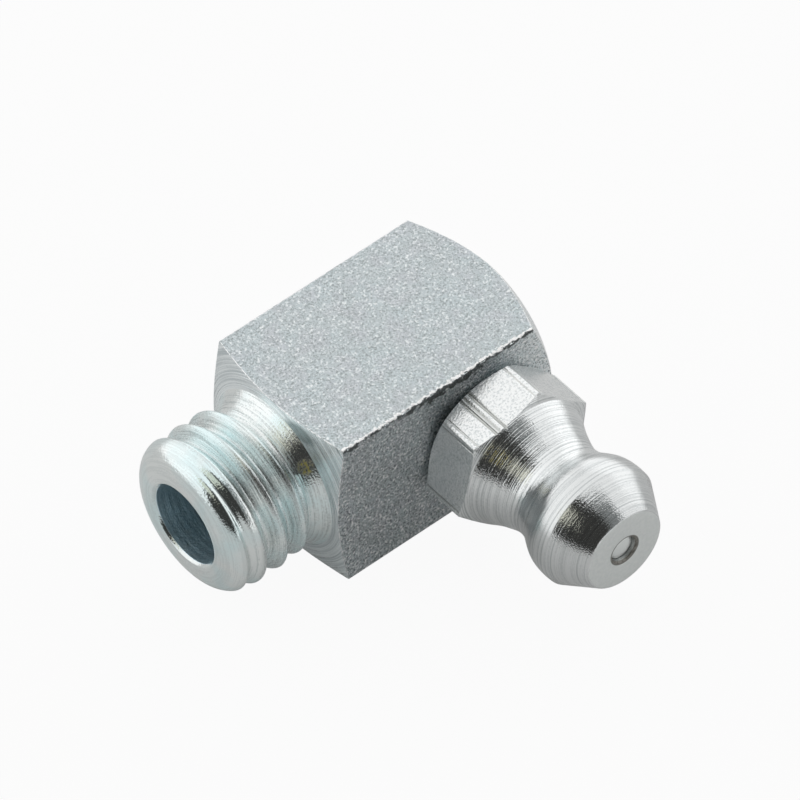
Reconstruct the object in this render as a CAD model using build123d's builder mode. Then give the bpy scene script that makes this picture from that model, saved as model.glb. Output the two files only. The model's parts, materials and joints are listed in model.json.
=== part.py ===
"""Angled grease nipple: a square elbow block with an M8 shank and a ball-check coupler at 90 degrees.

Millimetres.  +Z is up.  The block lies on its lower flat, and the origin is on that flat, straight
below the point where the shank axis and the coupler axis cross.  The shank points along -X and the
coupler along -Y.
"""
from build123d import *
from math import cos, radians, sin, sqrt, tan
import os

os.makedirs("parts", exist_ok=True)

# Block, turned at both ends from square bar
block_across_flats = 9.0
crossing_to_shank_corners = 8.3
crossing_to_far_corners = 3.0
shank_face_angle = 15.0          # turned face round the shank, from a square cut
far_cone_angle = 30.0
far_face_diameter = 8.4

# Shank, M8 x 1.25
thread_diameter = 8.0
thread_pitch = 1.25
thread_depth = 0.68
thread_root_width = 0.12
thread_flank_angle = 30.0
shank_length = 6.04              # block corners to nose
nose_radius = 1.3
relief_diameter = 6.4
relief_width = 0.45
relief_wall_angle = 30.0
relief_chamfer = 0.3
thread_start_angle = 34.0        # where the groove fades out, from +Y towards +Z
thread_start_inset = 0.49        # nose to the middle of the groove at that angle
thread_fade_turns = 1.0

# Grease passage and the hole for the nipple
passage_diameter = 4.2
passage_past_crossing = 1.2
drill_half_angle = 59.0
nipple_hole_diameter = 6.0
nipple_hole_depth = 2.9
tap_drill_diameter = 5.0
tap_drill_depth = 3.6

# Nipple, turned from hexagon bar
nipple_height = 9.9              # block flat to tip
hex_across_flats = 7.0
hex_turn = 14.8                  # how far the upper flat leans towards the shank
hex_height = 2.85
hex_rear_face_diameter = 6.4
hex_rear_chamfer_angle = 30.0
hex_front_chamfer_angle = 20.0
shoulder_cone_angle = 31.0
neck_diameter = 5.1
neck_fillet = 3.3
head_diameter = 6.5
head_back_radius = 2.4           # the head swells behind its land
head_back_fillet = 0.6           # from the swelling into the neck
head_land_width = 0.45
head_cone_length = 1.95
tip_diameter = 4.36
spigot_length = 2.3
spigot_clearance = 0.02
spigot_chamfer = 0.3
mark_width = 0.55                # shallow groove along the upper flat
mark_depth = 0.1
mark_offset = 0.475              # from the middle of the flat, towards the shank

# Ball check
ball_diameter = 2.4
ball_seat_gap = 0.02
orifice_diameter = 1.45
orifice_land = 0.26
seat_half_angle = 45.0
chamber_diameter = 2.75
chamber_depth = 7.0              # tip to the shoulder that the spring stands on
channel_diameter = 1.7           # from the shoulder to the block's passage

# Spring
wire_diameter = 0.3
spring_outer_diameter = 2.3
open_turns = 4
closed_turns = 1                 # at each end
closed_coil_gap = 0.02
wire_sides = 6                   # the wire is round; six sides keep the solid light
spring_end_gap = 0.02

points_per_turn = 8              # along the thread
overshoot = 0.5                  # how far a cutting profile runs past what it cuts

# Section planes: first coordinate outwards along the axis, second coordinate the radius
half_width = block_across_flats / 2
crossing = Vector(0, 0, half_width)
shank_section = Plane(origin=crossing, x_dir=(-1, 0, 0), z_dir=(0, 1, 0))
shank_axis = Axis(crossing, (-1, 0, 0))
nipple_section = Plane(origin=crossing, x_dir=(0, -1, 0), z_dir=(-1, 0, 0))
nipple_axis = Axis(crossing, (0, -1, 0))


def corner_at(sketch, point):
    """The corner of a sketch nearest to a point."""
    return sketch.vertices().sort_by_distance(point)[0]


# ---------------------------------------------------------------------------
# elbow_body
# ---------------------------------------------------------------------------
corner_radius = half_width * sqrt(2)
clear_radius = corner_radius + overshoot
thread_radius = thread_diameter / 2
relief_radius = relief_diameter / 2
far_radius = far_face_diameter / 2
nose = crossing_to_shank_corners + shank_length


def shank_face_at(radius):
    """Distance from the crossing to the turned face round the shank."""
    return crossing_to_shank_corners + (corner_radius - radius) * tan(radians(shank_face_angle))


def far_cone_at(radius):
    """Distance from the crossing to the cone at the far end."""
    return -crossing_to_far_corners - (corner_radius - radius) * tan(radians(far_cone_angle))


relief_foot = shank_face_at(relief_radius)
relief_top = relief_foot + relief_width
thread_end = relief_top + (thread_radius - relief_radius) * tan(radians(relief_wall_angle))
far_face = far_cone_at(far_radius)
root_radius = thread_radius - thread_depth
groove_start = nose - thread_start_inset
groove_turns = (groove_start - relief_top) / thread_pitch


def radial(angle):
    """Direction away from the shank axis, at an angle in degrees from +Y towards +Z."""
    return Vector(0, cos(radians(angle)), sin(radians(angle)))


def groove_point(turn):
    """Middle of the groove's root, a number of right-hand turns from where it starts."""
    lift = thread_depth * max(0, 1 - turn / thread_fade_turns) ** 1.5
    along = groove_start - thread_pitch * turn
    return crossing + Vector(-along, 0, 0) + radial(thread_start_angle + 360 * turn) * (root_radius + lift)


with BuildPart() as elbow_body:
    # Square bar, as long as the whole turning
    with BuildSketch(Plane.YZ.offset(-nose)):
        with Locations((0, half_width)):
            Rectangle(block_across_flats, block_across_flats)
    extrude(amount=nose - far_face)
    # The turned outline leaves the flats between the two cones
    with BuildSketch(shank_section) as turned_outline:
        with BuildLine():
            Polyline(
                (far_face, 0),
                (far_face, far_radius),
                (far_cone_at(clear_radius), clear_radius),
                (shank_face_at(clear_radius), clear_radius),
                (relief_foot, relief_radius),
                (relief_top, relief_radius),
                (thread_end, thread_radius),
                (nose, thread_radius),
                (nose, 0),
                close=True,
            )
        make_face()
        chamfer(corner_at(turned_outline, (relief_foot, relief_radius)), relief_chamfer)
        fillet(corner_at(turned_outline, (nose, thread_radius)), nose_radius)
    revolve(axis=shank_axis, mode=Mode.INTERSECT)
    # Grease passage, drilled from the nose past the crossing
    passage_radius = passage_diameter / 2
    passage_end = -passage_past_crossing
    with BuildSketch(shank_section):
        with BuildLine():
            Polyline(
                (nose + overshoot, 0),
                (nose + overshoot, passage_radius),
                (passage_end, passage_radius),
                (passage_end - passage_radius / tan(radians(drill_half_angle)), 0),
                close=True,
            )
        make_face()
    revolve(axis=shank_axis, mode=Mode.SUBTRACT)
    # Tapped hole for the nipple, drilled into the passage
    nipple_hole_radius = nipple_hole_diameter / 2
    tap_drill_radius = tap_drill_diameter / 2
    hole_floor = half_width - nipple_hole_depth
    drill_floor = half_width - tap_drill_depth
    with BuildSketch(nipple_section):
        with BuildLine():
            Polyline(
                (half_width + overshoot, 0),
                (half_width + overshoot, nipple_hole_radius),
                (hole_floor, nipple_hole_radius),
                (hole_floor, tap_drill_radius),
                (drill_floor, tap_drill_radius),
                (drill_floor - tap_drill_radius / tan(radians(drill_half_angle)), 0),
                close=True,
            )
        make_face()
    revolve(axis=nipple_axis, mode=Mode.SUBTRACT)
    # Helical groove: it fades in behind the nose and runs out into the relief
    groove_steps = round(groove_turns * points_per_turn)
    groove_points = [groove_point(groove_turns * step / groove_steps) for step in range(groove_steps + 1)]
    with BuildLine() as groove_path:
        Spline(*groove_points)
    groove_section = Plane(
        origin=groove_path.line @ 0, x_dir=radial(thread_start_angle), z_dir=groove_path.line % 0
    )
    groove_height = thread_depth + overshoot
    mouth_half = thread_root_width / 2 + groove_height * tan(radians(thread_flank_angle))
    with BuildSketch(groove_section):
        with BuildLine():
            Polyline(
                (0, -thread_root_width / 2),
                (groove_height, -mouth_half),
                (groove_height, mouth_half),
                (0, thread_root_width / 2),
                close=True,
            )
        make_face()
    sweep(path=groove_path.line, is_frenet=True, mode=Mode.SUBTRACT)
elbow_body.part.label = "elbow_body"
export_step(elbow_body.part, "parts/elbow_body.step")


# ---------------------------------------------------------------------------
# nipple
# ---------------------------------------------------------------------------
hex_radius = hex_across_flats / 2
hex_clear_radius = hex_radius / cos(radians(30)) + overshoot
hex_rear_radius = hex_rear_face_diameter / 2
hex_front = half_width + hex_height
neck_radius = neck_diameter / 2
head_radius = head_diameter / 2
tip_radius = tip_diameter / 2
tip = half_width + nipple_height
land_front = tip - head_cone_length
land_back = land_front - head_land_width
spigot_radius = nipple_hole_radius - spigot_clearance
spigot_end = half_width - spigot_length
cone_foot = hex_front + (hex_radius - neck_radius) / tan(radians(shoulder_cone_angle))
head_back_depth = head_back_radius - (head_radius - neck_radius)
head_back = land_back - sqrt(head_back_radius**2 - head_back_depth**2)
rear_chamfer_width = (hex_clear_radius - hex_rear_radius) * tan(radians(hex_rear_chamfer_angle))
front_chamfer_width = (hex_clear_radius - hex_radius) * tan(radians(hex_front_chamfer_angle))

# The bore, from the tip inwards
orifice_radius = orifice_diameter / 2
chamber_radius = chamber_diameter / 2
channel_radius = channel_diameter / 2
seat_edge = tip - orifice_land
seat_foot = seat_edge - (chamber_radius - orifice_radius) / tan(radians(seat_half_angle))
shoulder = tip - chamber_depth

with BuildPart() as nipple:
    # Hexagon bar with the groove along its upper flat, as long as the whole turning
    with BuildSketch(Plane(origin=crossing + Vector(0, -spigot_end, 0), x_dir=(0, 0, 1), z_dir=(0, -1, 0))):
        RegularPolygon(hex_radius, 6, major_radius=False, rotation=hex_turn - 30)
        with PolarLocations(hex_radius, 1, start_angle=hex_turn):
            with Locations((0, mark_offset)):
                Rectangle(2 * mark_depth, mark_width, mode=Mode.SUBTRACT)
    extrude(amount=tip - spigot_end)
    # The turned outline leaves the hexagon between its two chamfers
    with BuildSketch(nipple_section) as turned_nipple:
        with BuildLine():
            Polyline(
                (land_back, head_radius),
                (land_front, head_radius),
                (tip, tip_radius),
                (tip, 0),
                (spigot_end, 0),
                (spigot_end, spigot_radius - spigot_chamfer),
                (spigot_end + spigot_chamfer, spigot_radius),
                (half_width, spigot_radius),
                (half_width, hex_rear_radius),
                (half_width + rear_chamfer_width, hex_clear_radius),
                (hex_front - front_chamfer_width, hex_clear_radius),
                (hex_front, hex_radius),
                (cone_foot, neck_radius),
                (head_back, neck_radius),
            )
            RadiusArc((head_back, neck_radius), (land_back, head_radius), head_back_radius)
        make_face()
        fillet(corner_at(turned_nipple, (cone_foot, neck_radius)), neck_fillet)
        fillet(corner_at(turned_nipple, (head_back, neck_radius)), head_back_fillet)
    revolve(axis=nipple_axis, mode=Mode.INTERSECT)
    # Orifice, ball seat, chamber and the channel behind the spring's shoulder
    with BuildSketch(nipple_section):
        with BuildLine():
            Polyline(
                (tip + overshoot, 0),
                (tip + overshoot, orifice_radius),
                (seat_edge, orifice_radius),
                (seat_foot, chamber_radius),
                (shoulder, chamber_radius),
                (shoulder, channel_radius),
                (spigot_end - overshoot, channel_radius),
                (spigot_end - overshoot, 0),
                close=True,
            )
        make_face()
    revolve(axis=nipple_axis, mode=Mode.SUBTRACT)
nipple.part.label = "nipple"
export_step(nipple.part, "parts/nipple.step")

# ---------------------------------------------------------------------------
# check_ball
# ---------------------------------------------------------------------------
ball_radius = ball_diameter / 2
seat_apex = seat_edge + orifice_radius / tan(radians(seat_half_angle))
ball_place = seat_apex - (ball_radius + ball_seat_gap) / sin(radians(seat_half_angle))

with BuildPart() as check_ball:
    with Locations(crossing + Vector(0, -ball_place, 0)):
        Sphere(ball_radius)
check_ball.part.label = "check_ball"
export_step(check_ball.part, "parts/check_ball.step")

# ---------------------------------------------------------------------------
# spring
# ---------------------------------------------------------------------------
wire_radius = wire_diameter / 2
coil_radius = spring_outer_diameter / 2 - wire_radius
reach = ball_radius + wire_radius + spring_end_gap
spring_front = ball_place - sqrt(reach**2 - coil_radius**2)
spring_rear = shoulder + wire_radius + spring_end_gap
closed_pitch = wire_diameter + closed_coil_gap
closed_length = closed_pitch * closed_turns
open_length = spring_front - spring_rear - 2 * closed_length
open_pitch = open_length / open_turns

with BuildPart() as spring:
    # Closed coils at both ends, open coils between them
    with BuildLine() as coil:
        coil_start = spring_rear
        for pitch, length in (
            (closed_pitch, closed_length),
            (open_pitch, open_length),
            (closed_pitch, closed_length),
        ):
            coil_foot = crossing + Vector(0, -coil_start, 0)
            Helix(pitch, length, coil_radius, center=coil_foot, direction=(0, -1, 0))
            coil_start += length
    wire = coil.wire()
    with BuildSketch(Plane(origin=wire @ 0, z_dir=wire % 0)):
        RegularPolygon(wire_radius, wire_sides)
    sweep(path=wire, is_frenet=True)
spring.part.label = "spring"
export_step(spring.part, "parts/spring.step")
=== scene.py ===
# %% [markdown]
# # A 90 degree grease nipple
# This lesson dresses a small lubrication fitting.  Its exact solids come from the CAD model, in metres, and
# stay as the fixed frame.  We build finer meshes over them, because bright zinc plate mirrors its
# surroundings and every facet of a coarse mesh would show.

# %% Load the frame
import json
from math import atan2, cos, degrees, hypot, pi, radians, sin, sqrt, tan

import bmesh
import bpy
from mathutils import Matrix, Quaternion, Vector, noise

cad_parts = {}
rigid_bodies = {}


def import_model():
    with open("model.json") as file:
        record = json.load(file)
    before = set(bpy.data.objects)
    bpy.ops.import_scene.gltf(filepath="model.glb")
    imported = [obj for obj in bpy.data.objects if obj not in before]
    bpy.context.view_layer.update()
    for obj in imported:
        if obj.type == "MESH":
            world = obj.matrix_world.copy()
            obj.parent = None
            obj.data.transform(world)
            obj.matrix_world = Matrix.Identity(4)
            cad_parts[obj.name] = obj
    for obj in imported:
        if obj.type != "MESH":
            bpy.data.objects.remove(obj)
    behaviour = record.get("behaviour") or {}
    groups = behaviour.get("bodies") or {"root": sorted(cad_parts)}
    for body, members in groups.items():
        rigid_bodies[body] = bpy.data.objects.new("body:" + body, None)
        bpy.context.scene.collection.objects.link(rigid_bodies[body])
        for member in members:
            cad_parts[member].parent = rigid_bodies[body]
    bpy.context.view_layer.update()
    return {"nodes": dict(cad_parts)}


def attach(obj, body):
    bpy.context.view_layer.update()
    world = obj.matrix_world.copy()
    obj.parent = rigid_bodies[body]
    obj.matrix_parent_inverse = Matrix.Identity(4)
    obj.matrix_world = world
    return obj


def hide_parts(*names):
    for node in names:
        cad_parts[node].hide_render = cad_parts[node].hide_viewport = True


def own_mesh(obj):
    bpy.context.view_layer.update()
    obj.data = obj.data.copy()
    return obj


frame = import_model()

# %% [markdown]
# The camera stands well away and looks through a long lens, so the fitting's parallel edges stay almost
# parallel.  It could be added last, but every finish is judged through it, so it is the first thing we
# make.

# %% Camera
MM = 0.001
camera_data = bpy.data.cameras.new("camera")
camera_data.lens = 583.0
camera_data.sensor_width = 36.0
camera_data.clip_start = 0.01
camera_data.clip_end = 10.0
camera = bpy.data.objects.new("camera", camera_data)
camera.location = (-0.24651, -0.30697, 0.45727)
camera.rotation_euler = (radians(40.868), radians(1.216), radians(-40.016))
bpy.context.scene.collection.objects.link(camera)
bpy.context.scene.camera = camera
print("camera is", round(camera.location.length, 3), "m away")

# %% [markdown]
# Every solid of this fitting was turned on a lathe from bar.  We work the same way: draw half an outline as
# a chain of points, spin it round its axis, and only then cut the flats.  The drawing helper extrudes one
# vertex from corner to corner, just as you would with E in edit mode.

# %% Drawing an outline
CENTRE = Vector((0, 0, 4.5 * MM))       # where the shank axis and the nipple axis cross
SHANK = Vector((-1, 0, 0))
NIPPLE = Vector((0, -1, 0))
UP = Vector((0, 0, 1))


def at(axis, along, radius):
    """A point of an outline: millimetres along the axis from the crossing, and away from it."""
    return CENTRE + axis * along * MM + UP * radius * MM


def start_mesh(name, point):
    """A new object in edit mode that holds one selected vertex."""
    if bpy.context.object and bpy.context.object.mode != "OBJECT":
        bpy.ops.object.mode_set(mode="OBJECT")
    bpy.ops.object.select_all(action="DESELECT")
    bpy.ops.mesh.primitive_plane_add(size=MM, location=point)
    piece = bpy.context.object
    piece.name = name
    bpy.ops.object.transform_apply(location=True)
    bpy.ops.object.mode_set(mode="EDIT")
    bpy.ops.mesh.select_mode(type="VERT")
    bpy.ops.mesh.select_all(action="SELECT")
    bpy.ops.mesh.merge(type="CENTER")
    return piece


def draw_outline(name, axis, corners):
    """Extrude one vertex through all the corners of half a section."""
    here = at(axis, *corners[0])
    piece = start_mesh(name, here)
    for corner in corners[1:]:
        there = at(axis, *corner)
        bpy.ops.mesh.extrude_region_move(TRANSFORM_OT_translate={"value": there - here})
        here = there
    return piece


def count(piece):
    piece.data.update()
    return f"{piece.name}: {len(piece.data.vertices)} vertices, {len(piece.data.polygons)} faces"


print("the two axes cross", round(CENTRE.z / MM, 2), "mm above the floor")

# %% [markdown]
# An operator acts on what is selected.  By hand you would click; here a short test picks the vertices,
# edges or faces by where they lie.  The other helpers turn a sharp corner of the outline into an arc, spin
# the outline, and slice a flat off the bar.

# %% Picking, rounding, spinning and slicing
SAME_POINT = 0.001 * MM                 # how near a vertex lies to the corner that it stands for
SEAM = 0.0005 * MM                      # where a spin closes, points nearer than this are merged
ON_PLANE = 0.00005 * MM                 # a slice takes points nearer than this as lying in its plane


def pick(piece, kind, test):
    """Select only the vertices, edges or faces that pass a test."""
    mesh = bmesh.from_edit_mesh(piece.data)
    bpy.ops.mesh.select_mode(type={"verts": "VERT", "edges": "EDGE", "faces": "FACE"}[kind])
    bpy.ops.mesh.select_all(action="DESELECT")
    found = [item for item in getattr(mesh, kind) if test(item)]
    for item in found:
        item.select_set(True)
    mesh.select_flush_mode()
    bmesh.update_edit_mesh(piece.data)
    return len(found)


def round_corner(piece, axis, corner, radius, turn, segments):
    """Turn one corner of the outline into an arc; turn is the change of direction there, in degrees."""
    point = at(axis, *corner)
    pick(piece, "verts", lambda vert: (vert.co - point).length < SAME_POINT)
    bpy.ops.mesh.bevel(
        offset=radius * tan(radians(turn) / 2) * MM, segments=segments, affect="VERTICES", profile=0.5
    )


def spin(piece, axis, steps):
    """Spin the outline all the way round and close the seam and the poles."""
    bpy.ops.mesh.select_all(action="SELECT")
    bpy.ops.mesh.spin(steps=steps, angle=2 * pi, center=CENTRE, axis=axis)
    bpy.ops.mesh.select_all(action="SELECT")
    bpy.ops.mesh.remove_doubles(threshold=SEAM)
    bpy.ops.mesh.normals_make_consistent(inside=False)


def cut_flat(piece, outwards, distance):
    """Cut away what lies beyond a flat, and fill the cut."""
    bpy.ops.mesh.select_all(action="SELECT")
    bpy.ops.mesh.bisect(
        plane_co=CENTRE + outwards * distance * MM,
        plane_no=outwards,
        use_fill=True,
        clear_outer=True,
        threshold=ON_PLANE,
    )


print("seams merge below", round(SEAM / MM, 4), "mm")

# %% [markdown]
# The elbow starts as one long turning: a cone at the far end, a sloping face round the shank, a short
# relief and a shank whose nose is rounded so that it finds its hole.  Cylinders and cones joined with
# booleans would do it too, but they leave a seam wherever two of them meet.  The bore is part of the same
# outline, so one spin makes the outside and the inside together.

# %% Elbow outline
NOSE, CORNER_FRONT, CORNER_BACK = 14.34, 8.3, -3.0
CREST, ROOT, RELIEF, BORE = 4.0, 3.32, 3.2, 2.1
BORE_END = -1.2                         # the bore's full width ends just past the nipple's axis
MOUTH_DEEP, MOUTH_WIDE = 0.16, 0.15     # the small countersink of the bore's mouth
END_DISC = 4.2                          # radius of the flat far end
HALF = 4.5                              # half the width of the square bar
CLEAR = 6.9                             # outside the corners of the square bar
drill_slope = tan(radians(59))          # the point of a twist drill
face_slope, cone_slope = tan(radians(15)), tan(radians(30))
corner_radius = HALF * sqrt(2)
far_end = CORNER_BACK - (corner_radius - END_DISC) * cone_slope


def face_at(radius):
    """Where the sloping face round the shank lies at this radius."""
    return CORNER_FRONT + (corner_radius - radius) * face_slope


# The relief is a cone that leaves the sloping face at a crisp corner and ends in a small cove
RELIEF_CORNER, COVE, CREST_FOOT = 4.15, 0.32, 10.22
cove_centre = Vector((9.90, 3.72))
cove_points = []
for turn in range(230, 311, 10):
    along, radius = COVE * cos(radians(turn)), COVE * sin(radians(turn))
    cove_points.append((cove_centre.x + along, cove_centre.y + radius))

elbow_corners = [
    (BORE_END - BORE / drill_slope, 0),
    (BORE_END, BORE),
    (NOSE - MOUTH_DEEP, BORE),
    (NOSE, BORE + MOUTH_WIDE),
    (NOSE, CREST),
    (CREST_FOOT, CREST),
    *reversed(cove_points),
    (face_at(RELIEF_CORNER), RELIEF_CORNER),
    (face_at(CLEAR), CLEAR),
    (CORNER_BACK + (CLEAR - corner_radius) * cone_slope, CLEAR),
    (far_end, END_DISC),
    (far_end, 0),
]
elbow = draw_outline("fitting_elbow", SHANK, elbow_corners)
print(len(elbow_corners), "corners, from", round(far_end, 2), "to", NOSE, "mm along the shank")

# %% [markdown]
# A turned part has no knife-sharp corner.  Each one could be bevelled after the spin, but on the flat
# outline it is a single vertex, and the arc then spins with the rest.  The long crest line is cut into many
# short steps at the same time, because the thread will need points to move.

# %% Round its corners and spin it
roundings = (                           # which corner, radius in millimetres, turn in degrees, segments
    (-2, 0.12, 60, 3),                  # the far end
    (5, 0.2, 70, 4),                    # the foot of the crest
    (4, 1.3, 90, 36),                   # the nose
    (3, 0.16, 45, 6),                   # the rim of the mouth
    (2, 0.05, 45, 3),                   # the foot of the mouth's countersink
)
for corner, radius, turn, segments in roundings:
    round_corner(elbow, SHANK, elbow_corners[corner], radius, turn, segments)


def on_crest(edge):
    """The one long edge of the outline that the thread will be cut into."""
    middle = (edge.verts[0].co + edge.verts[1].co) / 2
    return abs(middle.z - CENTRE.z - CREST * MM) < SAME_POINT and edge.calc_length() > 1 * MM


pick(elbow, "edges", on_crest)
bpy.ops.mesh.subdivide(number_cuts=88)
spin(elbow, SHANK, steps=300)
print("rounded", len(roundings), "corners and spun the outline")

# %% [markdown]
# The block is what four slices leave of that turning, just as the square bar's own sides remain where the
# tool never reached.  A cube joined to a cylinder would lose the curved lines where the flats run into the
# cones.  Narrow slices at even angles then round the bar's long edges.

# %% Cut the square
EDGE = 0.08                             # how round the bar's own long edges are
BURR_EDGE = 0.20                        # and the one above the nipple, where the facing tool dragged
ABOVE_NIPPLE = 1                        # which quarter of the turn that edge lies in

for outwards in (Vector((0, 1, 0)), Vector((0, -1, 0)), UP, -UP):
    cut_flat(elbow, outwards, HALF)
for quarter in range(4):
    rounding = BURR_EDGE if quarter == ABOVE_NIPPLE else EDGE
    for lean in (15, 30, 45, 60, 75):
        turn = radians(lean + 90 * quarter)
        outwards = Vector((0, cos(turn), sin(turn)))
        beyond = (HALF - rounding) * (abs(cos(turn)) + abs(sin(turn))) + rounding
        cut_flat(elbow, outwards, beyond)
bpy.ops.object.mode_set(mode="OBJECT")
print(count(elbow))

# %% [markdown]
# The nipple sits in a stepped hole that runs into the bore.  The hole's edge with the round bore would be
# tedious to model by hand.  A turned plug of the same shape, taken away with a boolean, leaves it exactly.

# %% Hole for the nipple
SOCKET, SOCKET_END = 3.0, 1.6           # the hole that the nipple's spigot sits in, and its bottom
CROSS_BORE, CROSS_END = 2.5, 0.9        # the narrower hole that goes on into the bore
OUTSIDE = 5.2                           # past the side of the block
plug_corners = [
    (OUTSIDE, 0),
    (OUTSIDE, SOCKET),
    (SOCKET_END, SOCKET),
    (SOCKET_END, CROSS_BORE),
    (CROSS_END, CROSS_BORE),
    (CROSS_END - CROSS_BORE / drill_slope, 0),
]
plug = draw_outline("plug", NIPPLE, plug_corners)
spin(plug, NIPPLE, steps=96)
bpy.ops.object.mode_set(mode="OBJECT")


def take_away(piece, tool):
    """Subtract a tool mesh from a piece, and throw the tool away."""
    bpy.ops.object.select_all(action="DESELECT")
    bpy.context.view_layer.objects.active = piece
    piece.select_set(True)
    boolean = piece.modifiers.new("boolean", "BOOLEAN")
    boolean.operation = "DIFFERENCE"
    boolean.object = tool
    boolean.solver = "EXACT"
    bpy.ops.object.modifier_apply(modifier=boolean.name)
    bpy.data.objects.remove(tool, do_unlink=True)


take_away(elbow, plug)
print(count(elbow))

# %% [markdown]
# Plating rounds no corner, but tumbling in the plating barrel does.  A shader could fake the rounding, but
# a real bevel along every sharp edge of the square is part of the mesh itself.  It gives the thin
# bright lines that a real edge has.  The crisp ring where the relief begins is left out of it.

# %% Soften the block's edges
TUMBLED = 0.07                          # width of the bevel


def edit(piece):
    """Go into edit mode on this piece alone."""
    bpy.ops.object.select_all(action="DESELECT")
    piece.select_set(True)
    bpy.context.view_layer.objects.active = piece
    bpy.ops.object.mode_set(mode="EDIT")


def block_edge(edge):
    if len(edge.link_faces) != 2 or edge.calc_face_angle(0) < radians(24):
        return False
    middle = ((edge.verts[0].co + edge.verts[1].co) / 2 - CENTRE) / MM
    radius = hypot(middle.y, middle.z)
    if -middle.x > 0 and abs(radius - RELIEF_CORNER) < 0.001:
        return False
    return radius > HALF - 0.01 and max(abs(middle.y), abs(middle.z)) > HALF - 0.1


edit(elbow)
found = pick(elbow, "edges", block_edge)
bpy.ops.mesh.bevel(offset=TUMBLED * MM, segments=3, profile=0.5, affect="EDGES", clamp_overlap=True)
bpy.ops.object.mode_set(mode="OBJECT")
for vertex in elbow.data.vertices:      # a bevel may overshoot by a hair
    vertex.co.y = max(-HALF * MM, min(HALF * MM, vertex.co.y))
    vertex.co.z = max(0, min(2 * HALF * MM, vertex.co.z))
print(found, "edges softened;", count(elbow))

# %% [markdown]
# The long edge above the nipple is not clean.  The tool that faced the side dragged a ragged burr up to it,
# and the plating kept every tear.  Sculpting it by hand could not be repeated, so the edge is cut into
# short steps, and two layers of fixed noise, one broad and one fine, pull them in and out.

# %% Ragged edge above the nipple
TEAR = 0.07                             # how far the burr is torn, and how far it is worn back
WORN_BACK = 0.01
TORN_FROM, TORN_TO = -8.2, 3.0          # between the two cones
inner = HALF - BURR_EDGE


def burr_line(edge):
    a, b = (vert.co - CENTRE for vert in edge.verts)
    reach = (HALF - BURR_EDGE - 0.01) * MM
    return abs(a.x - b.x) > 8 * MM and all(co.y < -reach and co.z > reach for co in (a, b))


edit(elbow)
found = pick(elbow, "edges", burr_line)
bpy.ops.mesh.subdivide(number_cuts=150)
bpy.ops.object.mode_set(mode="OBJECT")
for vertex in elbow.data.vertices:
    spot = (vertex.co - CENTRE) / MM
    if spot.y < -inner and spot.z > inner and TORN_FROM < spot.x < TORN_TO:
        lean = atan2(spot.z - inner, -spot.y - inner) / (pi / 2)
        share = sin(pi * max(0, min(1, lean)))
        broad = noise.noise(Vector((spot.x * 3.1, lean * 2.0, 1.7)))
        fine = noise.noise(Vector((spot.x * 7.7, lean * 5.0, 5.2)))
        push = share * (TEAR * (broad + 0.6 * fine) - WORN_BACK)
        vertex.co += Vector((0, -cos(lean * pi / 2), 0.6 * sin(lean * pi / 2))) * push * MM
        vertex.co.z = min(vertex.co.z, 2 * HALF * MM)
print(found, "edges torn into steps;", count(elbow))

# %% [markdown]
# A thread is one groove wound round the blank.  A swept cutter taken away with a boolean is the usual way,
# but it leaves thin slivers and sharp crests.  Here each point of the blank asks how far it is from the
# groove's middle line, along the axis, and moves in to the groove's flank if that lies deeper.  The groove
# fades in over its first turn, where the die starts to bite, and runs out into the relief.

# %% Cut the thread
PITCH, START, START_ANGLE = 1.25, NOSE - 0.49, 34.0
FLANK = tan(radians(30))
FADE_IN = 1.5                           # how steeply the first turn gets deep
RUN_OUT = 0.4                           # and how soon the last half turn gets shallow
ROOT_FLAT, ROOT_ROUND, ROUND_CREST = 0.03, 0.1, 0.26
SKIN = 3.0                              # what lies nearer to the axis is the bore, which stays
relief_foot = face_at(RELIEF)
thread_end = relief_foot + 0.45
last_turn = (START - thread_end) / PITCH + 0.2


def soft_min(a, b, blend):
    """The smaller of two numbers, rounded where they cross."""
    h = max(blend - abs(a - b), 0) / blend
    return min(a, b) - h * h * blend / 4


def groove_radius(along, angle):
    """How near to the axis the groove reaches at this place."""
    turn = ((angle - START_ANGLE) % 360) / 360
    reach = 9.0                         # with no groove near, farther out than the blank
    while turn < last_turn:
        aside = abs(along - (START - PITCH * turn))
        lift = (CREST - ROOT) * max(0, 1 - turn) ** FADE_IN + RUN_OUT * max(0, turn - last_turn + 0.5)
        flank = (sqrt(max(0, aside - ROOT_FLAT) ** 2 + ROOT_ROUND ** 2) - ROOT_ROUND) / FLANK
        reach = min(reach, ROOT + lift + flank)
        turn += 1
    return reach


moved = 0
for vertex in elbow.data.vertices:
    offset = (vertex.co - CENTRE) / MM
    radius = hypot(offset.y, offset.z)
    if -offset.x > thread_end and radius > SKIN:
        angle = degrees(atan2(offset.z, offset.y)) % 360
        cut = soft_min(radius, groove_radius(-offset.x, angle), ROUND_CREST)
        if cut < radius:
            vertex.co = CENTRE + Vector((offset.x, offset.y * cut / radius, offset.z * cut / radius)) * MM
            moved += 1
print(moved, "points moved into the thread's groove,", round(last_turn, 2), "turns")

# %% [markdown]
# The nipple is turned from hexagon bar.  Its soft neck and swelling head are not straight lines, and a
# chain of arcs would show a line at every joint.  So the outline runs as a smooth curve through a few
# measured points, and only the tip, the land and the inside are drawn with corners.

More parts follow.
